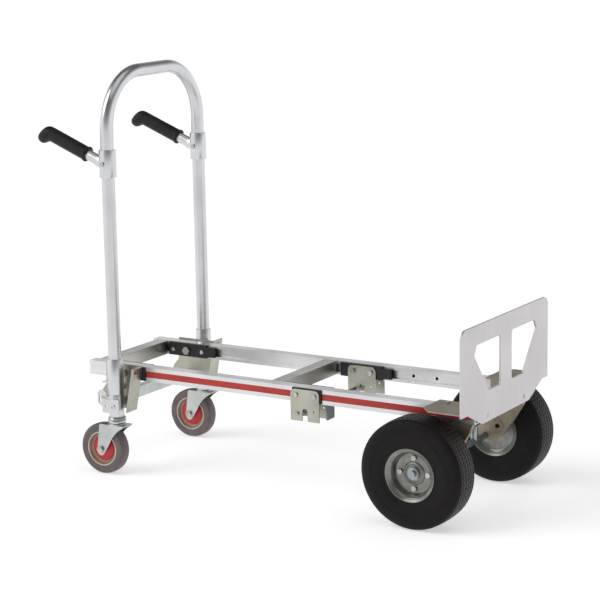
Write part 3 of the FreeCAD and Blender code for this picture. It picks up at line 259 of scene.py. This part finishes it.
def dress(name, material, edge_mm):
    """Gives a CAD piece a material, and soft edges where edge_mm asks for them."""
    piece = parts[name]
    piece.data.materials.clear()
    piece.data.materials.append(material)
    if not edge_mm:
        return
    weld = piece.modifiers.new("weld", "WELD")
    weld.merge_threshold = WELD_WITHIN
    flat = piece.modifiers.new("flat_faces", "DECIMATE")
    flat.decimate_type = "DISSOLVE"
    flat.angle_limit = FLAT_WITHIN
    bevel = piece.modifiers.new("soft_edges", "BEVEL")
    bevel.width = edge_mm * MM
    bevel.segments = 2
    bevel.limit_method = "ANGLE"
    bevel.angle_limit = EDGE_FROM
    bevel.harden_normals = True
    bevel.use_clamp_overlap = True


def both(*names):
    """The left and right node of each name."""
    return [f"{name}_{side}" for name in names for side in SIDES]


finishes = [
    (both("rail"), metals["extruded"], 0.8),
    (["crossbar_rear", "crossbar_middle", "crossbar_front"], metals["cross"], 0.8),
    (["rail_stripes"], coats["strip"], 0.3),
    (["nylon_blocks", "nylon_spacers"], coats["nylon"], 0.8),
    (["handle_tube", "grip_tubes"], metals["drawn"], 0),
    (both("collar", "grip_clamp"), metals["drawn"], 0.6),
    (both("foot"), metals["drawn"], 0.5),
    (["nose_plate"], metals["rolled"], 0.8),
    (both("gusset"), metals["olive"], 0.6),
    (both("axle_bracket"), metals["cast"], 1.5),
    (both("carriage", "latch_box"), metals["latch"], 0.5),
    (["axle", "axle_posts", "axle_tie", "axle_washers"], metals["blue_zinc"], 0.4),
    (["release_rod", "release_pedal"], metals["blue_zinc"], 0.4),
    (["lower_bar", "release_pawls"], metals["zinc"], 0.6),
    (["pivot_bolts", "latch_bolts", "block_rivets", "nose_bolts", "clamp_bolts"], metals["bolt"], 0.3),
    (["axle_clips"] + both("caster_axle", "rim_bolts", "big_hub"), metals["bolt"], 0.3),
]
for names, material, edge in finishes:
    for name in names:
        dress(name, material, edge)
print(sum(len(names) for names, _, _ in finishes), "of", len(parts), "CAD pieces have a finish")

# %% [markdown]
# ## Moulded and pressed pieces
#
# Wheels, grips and caster forks come out of moulds and presses. They could be modelled by hand from a
# cylinder, but a wheel is the same all the way round, so each wheel piece below is a closed profile that is
# spun about the wheel's axle. The profile says everything: a rolled flange, a dished floor, a raised ring.

# %% Helpers that build meshes
SMOOTH_BELOW = math.radians(35)


def build(name, points, faces, material, slot, body, *nodes):
    """A new piece in place of some CAD nodes, which rides on a body."""
    mesh = bpy.data.meshes.new(name)
    mesh.from_pydata([tuple(point) for point in points], [], faces)
    shape = bmesh.new()
    shape.from_mesh(mesh)
    bmesh.ops.recalc_face_normals(shape, faces=shape.faces)
    shape.to_mesh(mesh)
    shape.free()
    mesh.shade_smooth()
    mesh.set_sharp_from_angle(angle=SMOOTH_BELOW)
    mesh.materials.append(material)
    piece = bpy.data.objects.new(name, mesh)
    bpy.context.scene.collection.objects.link(piece)
    if nodes:
        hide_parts(*nodes)
    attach(piece, body)
    return piece


def rings(grid, closed):
    """Points and faces of rings of points. closed joins the last ring to the first, or both ends get caps."""
    count, around = grid.shape[:2]
    faces = []
    for n in range(count if closed else count - 1):
        a, b = n * around, (n + 1) % count * around
        faces += [(a + k, a + (k + 1) % around, b + (k + 1) % around, b + k) for k in range(around)]
    if not closed:
        faces += [tuple(range(around)), tuple(range((count - 1) * around, count * around))]
    return grid.reshape(-1, 3), faces


def spin(profile, centre, axis="Y", around=144, relief_of=None):
    """Spins a closed profile of radius and offset pairs, in millimetres, about an axis through centre."""
    profile = np.array(profile, float)
    angle = np.arange(around) * 2 * math.pi / around
    radius, offset = profile[:, :1] + 0 * angle, profile[:, 1:] + 0 * angle
    if relief_of:
        radius, offset = relief_of(radius, offset, angle)
    flat = (radius * np.cos(angle), offset, radius * np.sin(angle))
    if axis == "Z":
        flat = (radius * np.cos(angle), radius * np.sin(angle), offset)
    return rings(np.stack(flat, axis=-1) * MM + np.array(centre), closed=True)


def smooth(points, steps=4):
    """A curve through some points, with steps short lines from each point to the next."""
    points = [np.array(point, float) for point in points]
    ends = [2 * points[0] - points[1]] + points + [2 * points[-1] - points[-2]]
    curve = []
    for n in range(1, len(points)):
        a, b, c, d = ends[n - 1 : n + 3]
        for t in np.arange(steps) / steps:
            bend = 2 * b + (c - a) * t + (2 * a - 5 * b + 4 * c - d) * t**2 + (3 * b - a - 3 * c + d) * t**3
            curve.append(bend / 2)
    return curve + [points[-1]]


def both_faces(half):
    """A profile's outer half and its mirror image, as one closed run."""
    return [tuple(point) for point in half] + [(point[0], -point[1]) for point in reversed(half)]


def middle_of(node):
    """The middle of a CAD node's box, in metres."""
    low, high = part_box(node)
    return (np.array(low) + np.array(high)) / 2


print("mesh helpers are ready")

# %% [markdown]
# ## Big tyres
#
# A pneumatic tyre comes out of a mould that cuts zigzag grooves round its crown and fine ribs into its
# shoulders. A picture of grooves would look flat from the side, so the spun profile is really pushed in and
# out as it goes round. The crown also gets a paler, glossier rubber: the paler colour is a painted
# highlight on its lugs.

# %% Big tyres
TREAD_WAVES = 80
SHOULDER_RIBS = 128
STEPS_PER_WAVE = 8
TREAD_HALF = 30.0
TYRE_RADIUS = 127
CROWN_DROP = 1.3
PAINTED_HIGHLIGHT_FROM = 0.12
ZIGZAG_REACH = 2.4
GROOVE_WIDTH = 1.2
GROOVE_DEPTH = 2.6
RIB_DEPTH = 0.8
SHOULDER_LOW, SHOULDER_HIGH = 99, 120
groove_rows = (-24.0, -12.0, 0.0, 12.0, 24.0)


def tread(radius, offset, angle):
    """Cuts zigzag grooves into the crown, and presses fine ribs into both shoulders."""
    zigzag = ZIGZAG_REACH * 2 / math.pi * np.arcsin(np.sin(TREAD_WAVES * angle))
    groove = sum(np.exp(-(((offset - row - zigzag) / GROOVE_WIDTH) ** 2)) for row in groove_rows)
    on_crown = np.abs(offset) < TREAD_HALF + 1
    on_shoulder = (radius > SHOULDER_LOW) & (radius < SHOULDER_HIGH) & ~on_crown
    rib = RIB_DEPTH * (0.5 + 0.5 * np.cos(SHOULDER_RIBS * angle))
    return radius - GROOVE_DEPTH * groove * on_crown, offset - np.sign(offset) * rib * on_shoulder


crown = [(TYRE_RADIUS - CROWN_DROP * (y / TREAD_HALF) ** 2, y) for y in np.arange(0, TREAD_HALF + 1)]
wall = [(125.5, 31), (123, 35), (118.5, 38.6), (112, 41), (104, 42.3), (97, 42.4), (95.6, 41.6), (94, 42.3)]
wall += [(84, 41.6), (74, 40), (72.6, 39.2), (71, 39.4), (66, 38.3), (61.7, 37.9)]
AXLE_X = middle_of("axle")[0]
tyre_profile = both_faces([(60.2, 36)] + smooth(wall)[::-1] + crown[::-1])
for side in SIDES:
    node = f"big_tyre_{side}"
    around = TREAD_WAVES * STEPS_PER_WAVE
    points, faces = spin(tyre_profile, middle_of(node), around=around, relief_of=tread)
    tyre = build(f"tyre_{side}", points, faces, coats["tyre"], "tyre_rubber", f"wheel_{side}", node)
    tyre.data.materials.append(coats["tread"])
    axle_y, axle_z = middle_of(node)[1:]
    # The crown's faces take the paler rubber, a painted highlight on the lugs.
    for face in tyre.data.polygons:
        out = math.hypot(face.center.x - AXLE_X, face.center.z - axle_z)
        if abs(face.center.y - axle_y) < TREAD_HALF * MM and out > PAINTED_HIGHLIGHT_FROM:
            face.material_index = 1
print("each big tyre has", len(tyre_profile), "rings")

# %% [markdown]
# ## Big rims
#
# A rim is pressed from sheet steel: a flat floor round the hub with one raised ring, a steep wall and a
# rolled flange that holds the tyre. Its profile is given as pairs of radius and distance from the middle.

# %% Big rims
rim_face = [(15, 14.6), (20, 14.6), (21.5, 16.6), (23.5, 17.2), (25.5, 16.4), (27, 14.2), (42, 14)]
rim_face += [(45.5, 15), (47.5, 18), (48.5, 24), (49.2, 30), (50.5, 33), (55, 36.2), (58.5, 38.8)]
rim_face += [(59.8, 39.5), (61.2, 39.1)]
rim_back = [(61.6, 37.9), (54, 36), (54, -36), (61.6, -37.9), (61.2, -39.1), (59.8, -39.5), (55, -36)]
rim_back += [(51, -30), (47, -28), (15, -27.8)]
for side, sign in SIDES.items():
    profile = [(r, sign * y) for r, y in rim_face + rim_back]
    points, faces = spin(profile, middle_of(f"big_rim_{side}"))
    build(f"rim_{side}", points, faces, coats["rim"], "rim_paint", f"wheel_{side}", f"big_rim_{side}")
print("two pressed rims")

# %% [markdown]
# ## Caster wheels
#
# A caster wheel is grey rubber moulded round a tan nylon web, with a pale ring on each face where the two
# meet and a red boss in the middle. Each material is a mesh of its own, so that they meet in a crisp line.

# %% Caster wheels
CASTER_AROUND = 96
caster_tread = [(63.5, 0), (63.4, 5), (62.9, 9.5), (61.6, 13), (59.3, 15), (56, 15.9), (50, 16)]
caster_tread += [(44.6, 15.6), (43, 14.4)]
caster_web = [(43, 14), (39.6, 14), (38.8, 10.5), (37, 7.2), (34, 6), (28, 5.2), (21, 5)]
caster_ring = [(43.1, 14.2), (42.6, 15.5), (41.8, 16), (40.6, 15.8), (39.8, 14.8), (39.4, 13)]
caster_boss = [(31, 4), (30.6, 6.6), (29.2, 8), (25, 9), (13, 9.8), (10.4, 11), (9.6, 16.6), (5.1, 16.6)]
caster_rubber = both_faces([(42.5, 0)] + smooth(caster_tread)[:0:-1])[1:]
for side, sign in SIDES.items():
    centre = middle_of(f"caster_tyre_{side}")
    body = f"caster_wheel_{side}"
    for label, profile, coat, slot, node in (
        ("tyre", caster_rubber, "caster", "grey_rubber", "caster_tyre"),
        ("web", both_faces(caster_web), "core", "cream_plastic", "caster_core"),
        ("boss", both_faces(caster_boss), "hub", "red_hub_plastic", "caster_hub"),
    ):
        points, faces = spin(profile, centre, around=CASTER_AROUND)
        build(f"caster_{label}_{side}", points, faces, coats[coat], slot, body, f"{node}_{side}")
    for outward, name in ((1, "outer"), (-1, "inner")):
        ring_profile = [(r, sign * outward * y) for r, y in caster_ring]
        points, faces = spin(ring_profile, centre, around=CASTER_AROUND)
        build(f"caster_ring_{name}_{side}", points, faces, coats["ring"], "cream_plastic", body)
print("two caster wheels")

# %% [markdown]
# ## Caster bearings
#
# Each fork turns on a ball bearing under the handle's leg. From outside it is a stack of shiny steel steps
# with dark gaps between them, so one spun profile makes the stack. One CAD node holds both bearings: the
# right-hand mesh is named as its replacement, and the left-hand mesh is a piece of its own.

# %% Caster bearings
LEG_X = middle_of("handle_tube")[0]
LEG_Y = middle_of("caster_tyre_left")[1]
races = [(19, 146.2), (21.6, 145.8), (22.4, 144.3), (21.4, 142.6), (18.8, 142.2), (18.8, 140.9)]
races += [(21.8, 140.4), (22.8, 138), (22.8, 135.2), (22, 133.3), (19.4, 132.8), (19, 131.4)]
races += [(5, 131.2), (5, 124), (3, 124), (3, 146)]
for side, sign in SIDES.items():
    points, faces = spin(races, (LEG_X, sign * LEG_Y, 0), axis="Z", around=CASTER_AROUND)
    nodes = ["caster_bearings"] if side == "right" else []
    build(f"caster_race_{side}", points, faces, metals["bright"], "zinc_steel", "handle", *nodes)
print("two caster bearings")

# %% [markdown]
# ## Caster forks
#
# A fork is one pressed sheet: a crown over the wheel and two cheeks that run down to the axle bolt. Its rear
# edge is straight and its front edge is a hollow curve. Each cheek is an outline that is thickened, and a
# bevel rolls its edges over, because a press never leaves a sharp one.

# %% Make the caster forks


def slab(outline, low, high):
    """An outline in X and Z, thickened along Y, as points and faces."""
    count = len(outline)
    points = [(x, y, z) for y in (low, high) for x, z in outline]
    faces = [tuple(range(count)), tuple(range(count, 2 * count))]
    faces += [(n, (n + 1) % count, (n + 1) % count + count, n + count) for n in range(count)]
    return points, faces


def soften(piece, edge_mm):
    """Rolls the sharp edges of a new piece over."""
    bevel = piece.modifiers.new("soft_edges", "BEVEL")
    bevel.width = edge_mm * MM
    bevel.segments = 3
    bevel.limit_method = "ANGLE"
    bevel.angle_limit = EDGE_FROM
    bevel.harden_normals = True


FORK_TOP = 127.5
CHEEK_IN = 17.3
FORK_SHEET = 3.0
CROWN_BACK, CROWN_AHEAD = -18, 31
CROWN_LAP = 0.01
front_edge = smooth([(31, 124), (20, 117.5), (8, 107.5), (-4, 93), (-15, 74), (-26, 57)], 5)
toe = smooth([(-26, 57), (-31.5, 50), (-38.2, 47.6), (-45, 50.5), (-49.2, 58)], 5)
cheek = [(CROWN_AHEAD, FORK_TOP)] + front_edge + toe[1:] + [(-41, FORK_TOP - 4), (-38, FORK_TOP)]
crown_low = FORK_TOP - FORK_SHEET
crown_outline = [(CROWN_BACK, crown_low), (CROWN_AHEAD, crown_low)]
crown_outline += [(CROWN_AHEAD, FORK_TOP), (CROWN_BACK, FORK_TOP)]
turning_race = [(6, 127.6), (21, 127.6), (21.3, 129.3), (20.6, 130.9), (6, 130.9)]
for side, sign in SIDES.items():
    shapes = []
    for low in (-CHEEK_IN - FORK_SHEET, CHEEK_IN):
        shapes.append(slab(cheek, low, low + FORK_SHEET))
    shapes.append(slab(crown_outline, -CHEEK_IN - CROWN_LAP, CHEEK_IN + CROWN_LAP))
    points, faces = [], []
    for some_points, some_faces in shapes:
        faces += [tuple(n + len(points) for n in face) for face in some_faces]
        points += some_points
    under_leg = (LEG_X, sign * LEG_Y, 0)
    body = f"caster_{side}"
    moved = np.array(points) * MM + np.array(under_leg)
    fork = build(f"fork_{side}", moved, faces, metals["zinc"], "zinc_steel", body, f"caster_fork_{side}")
    soften(fork, 1.0)
    points, faces = spin(turning_race, under_leg, axis="Z")
    build(f"fork_race_{side}", points, faces, metals["zinc"], "zinc_steel", body)
print("each cheek has", len(cheek), "corners")

# %% [markdown]
# ## Grips
#
# A grip is a rubber sleeve with a flange where it starts and a lip that droops below its closed end, so that
# a hand can't slide off. It is built as rings along its own axis, because it changes shape along its length:
# each row below is how far along the ring stands, its top, its bottom and half its width.

# %% Make the grips
GRIP_SLOPE = math.radians(22.2)
GRIP_HEIGHT = 764.0
GRIP_AROUND = 48
grip_rings = [(62, 12.9, -12.9, 12.9), (62, 18.4, -18.4, 18.4), (63, 19, -19, 19), (66, 19, -19, 19)]
grip_rings += [(67.2, 18, -18, 18), (69, 17, -17, 17)]
grip_rings += [(along, 17, -17, 17) for along in range(76, 173, 8)]
grip_rings += [(172, 17, -16.8, 17), (176, 17, -18, 17.4), (180, 17, -20.6, 18), (184, 16.8, -24.2, 18.6)]
grip_rings += [(188, 16.3, -27.8, 19), (192, 15, -30.2, 19), (196, 12.4, -31, 18.4), (200, 8, -30.6, 17)]
grip_rings += [(204, 1.5, -29.2, 14.6), (207, -4.6, -27.4, 11.4), (209.5, -11, -25.6, 7.6)]
grip_rings += [(211, -17, -24, 3.6)]
round_angle = np.arange(GRIP_AROUND) * 2 * math.pi / GRIP_AROUND
for side, sign in SIDES.items():
    grid = []
    for along, top, bottom, half in grip_rings:
        up_by = (top + bottom) / 2 + (top - bottom) / 2 * np.sin(round_angle)
        x = -along * math.cos(GRIP_SLOPE) + up_by * math.sin(GRIP_SLOPE)
        z = along * math.sin(GRIP_SLOPE) + up_by * math.cos(GRIP_SLOPE) + GRIP_HEIGHT
        grid.append(np.stack([x, half * np.cos(round_angle), z], axis=-1))
    points, faces = rings(np.array(grid) * MM + np.array((LEG_X, sign * LEG_Y, 0)), closed=False)
    build(f"rubber_grip_{side}", points, faces, coats["grip"], "grip_rubber", "handle", f"grip_{side}")
print("each grip has", len(grip_rings), "rings")

# %% [markdown]
# ## Small bolts on the carriages
#
# A small bolt head shows on the front of each carriage. The CAD model doesn't have it, so it is made here
# as a hexagon that is thickened and softened, and it rides on the carriage.

# %% Small bolts on the carriages
BOLT_AHEAD = 54.6
BOLT_OUT = 181
BOLT_HEIGHT = 257.0
BOLT_RADIUS = 5
BOLT_HEAD = 3
corners = np.arange(6) * math.pi / 3
for side, sign in SIDES.items():
    spot = np.array((LEG_X * 1000 + BOLT_AHEAD, sign * BOLT_OUT, BOLT_HEIGHT))
    hexagon = [(BOLT_RADIUS * math.cos(a), BOLT_RADIUS * math.sin(a)) for a in corners]
    grid = [[(x, y, z) for y, z in hexagon] for x in (0, BOLT_HEAD)]
    points, faces = rings((np.array(grid) + spot) * MM, closed=False)
    bolt = build(f"cheek_bolt_{side}", points, faces, metals["bolt"], "zinc_steel", "carriage")
    soften(bolt, 0.6)
print("two cheek bolts")

# %% [markdown]
# ## Floor, light and camera
#
# A catalogue picture of a metal object needs large soft lights, because metal shows what it reflects.
# Softboxes would do, but here the sky itself is the light. It is bright near the horizon and dark overhead,
# which puts long highlights on upright tubes. It is also darker in one fixed direction, the side that the
# main view is taken from, which gives the tubes their grey core. A pale floor, which also glows a little,
# fills the shadows from below.

# %% Floor and sky
FLOOR_HALF = 60
SKY_LOW, SKY_HIGH = 0.1, 0.6
HORIZON_GLOW, ZENITH_GLOW = 1.15, 0.12
DARK_SIDE = (0.522, -0.853, 0.1)
DARK_FROM, DARK_TO = 0.35, 0.9
DARK_GLOW = 0.35
floor_corners = [(x * FLOOR_HALF, y * FLOOR_HALF, 0) for x, y in ((-1, -1), (1, -1), (1, 1), (-1, 1))]
floor_mesh = bpy.data.meshes.new("floor")
floor_mesh.from_pydata(floor_corners, [], [(0, 1, 2, 3)])
floor = bpy.data.objects.new("floor", floor_mesh)
bpy.context.scene.collection.objects.link(floor)
paper, paper_tree = new_material("pale_paper")
paper_look = {"Base Color": linear("F7F7F7"), "Roughness": 1.0, "Specular IOR Level": 0.0}
paper_look.update({"Emission Color": linear("FFFFFF"), "Emission Strength": 0.5})
finish_material(paper_tree, add(paper_tree, "BsdfPrincipled", paper_look))
floor_mesh.materials.append(paper)

world = bpy.data.worlds.new("studio")
bpy.context.scene.world = world
world.use_nodes = True
sky = world.node_tree
sky.nodes.clear()
direction = add(sky, "TexCoord").outputs["Generated"]
height = add(sky, "SeparateXYZ", {"Vector": direction}).outputs["Z"]
climb = {"Value": height, "From Min": SKY_LOW, "From Max": SKY_HIGH}
zenith = add(sky, "MapRange", {**climb, "To Min": HORIZON_GLOW, "To Max": ZENITH_GLOW})
toward = add(sky, "VectorMath", {0: direction, 1: DARK_SIDE}, operation="DOT_PRODUCT")
turn_dark = {"Value": toward.outputs["Value"], "From Min": DARK_FROM, "From Max": DARK_TO}
shade = add(sky, "MapRange", {**turn_dark, "To Min": 1.0, "To Max": DARK_GLOW})
strength = add(sky, "Math", {0: zenith.outputs[0], 1: shade.outputs[0]}, operation="MULTIPLY")
glow = add(sky, "Background", {"Color": linear("FFFFFF"), "Strength": strength.outputs[0]})
add(sky, "OutputWorld", {"Surface": glow.outputs[0]})
print("the sky glows", HORIZON_GLOW, "at the horizon and", ZENITH_GLOW, "overhead")

# %% [markdown]
# ## Soft suns
#
# A sky alone gives a metal object no shadow to stand on. Two large far lamps add one: a key from the left of
# the main view and a weaker one from above. Each spreads widely, so that its shadow has no hard edge.

# %% Soft suns


def soft_sun(name, from_where, strength, spread_degrees):
    """A large far lamp: the wider it spreads, the softer its shadows."""
    lamp = bpy.data.lights.new(name, "SUN")
    lamp.energy = strength
    lamp.angle = math.radians(spread_degrees)
    holder = bpy.data.objects.new(name, lamp)
    holder.rotation_euler = Vector(from_where).to_track_quat("Z", "Y").to_euler()
    bpy.context.scene.collection.objects.link(holder)


soft_sun("key_sun", (-0.9, -0.9, 1.0), 1.0, 40)
soft_sun("top_sun", (0.3, -0.1, 1.0), 0.5, 60)
print("two soft suns")

# %% [markdown]
# ## Camera
#
# The camera looks at the truck from its right front, a little above it, through a long lens, so that the
# near and the far wheels differ little in size. It is tilted by one degree.

# %% Camera
CAMERA_TARGET = Vector((0.031328, 0.0, 0.43899))
CAMERA_TURN = math.radians(31.477)
CAMERA_RISE = math.radians(11.421)
CAMERA_ROLL = math.radians(-1.036)
CAMERA_AWAY = 4.715578
LENS_LENGTH = 118.394
FILM_WIDTH = 36.0
SEES_TO = 200
back = Vector(
    (
        math.sin(CAMERA_TURN) * math.cos(CAMERA_RISE),
        -math.cos(CAMERA_TURN) * math.cos(CAMERA_RISE),
        math.sin(CAMERA_RISE),
    )
)
right = (-back).cross(Vector((0, 0, 1))).normalized()
up = right.cross(-back)
rolled_right = right * math.cos(CAMERA_ROLL) + up * math.sin(CAMERA_ROLL)
rolled_up = up * math.cos(CAMERA_ROLL) - right * math.sin(CAMERA_ROLL)
lens = bpy.data.cameras.new("camera")
lens.lens = LENS_LENGTH
lens.sensor_width = FILM_WIDTH
lens.clip_end = SEES_TO
camera = bpy.data.objects.new("camera", lens)
turn = Matrix((rolled_right, rolled_up, back)).transposed().to_4x4()
camera.matrix_world = Matrix.Translation(CAMERA_TARGET + back * CAMERA_AWAY) @ turn
bpy.context.scene.collection.objects.link(camera)
bpy.context.scene.camera = camera
bpy.context.scene.view_settings.view_transform = "Standard"
print("the camera stands", round(CAMERA_AWAY, 2), "m away")
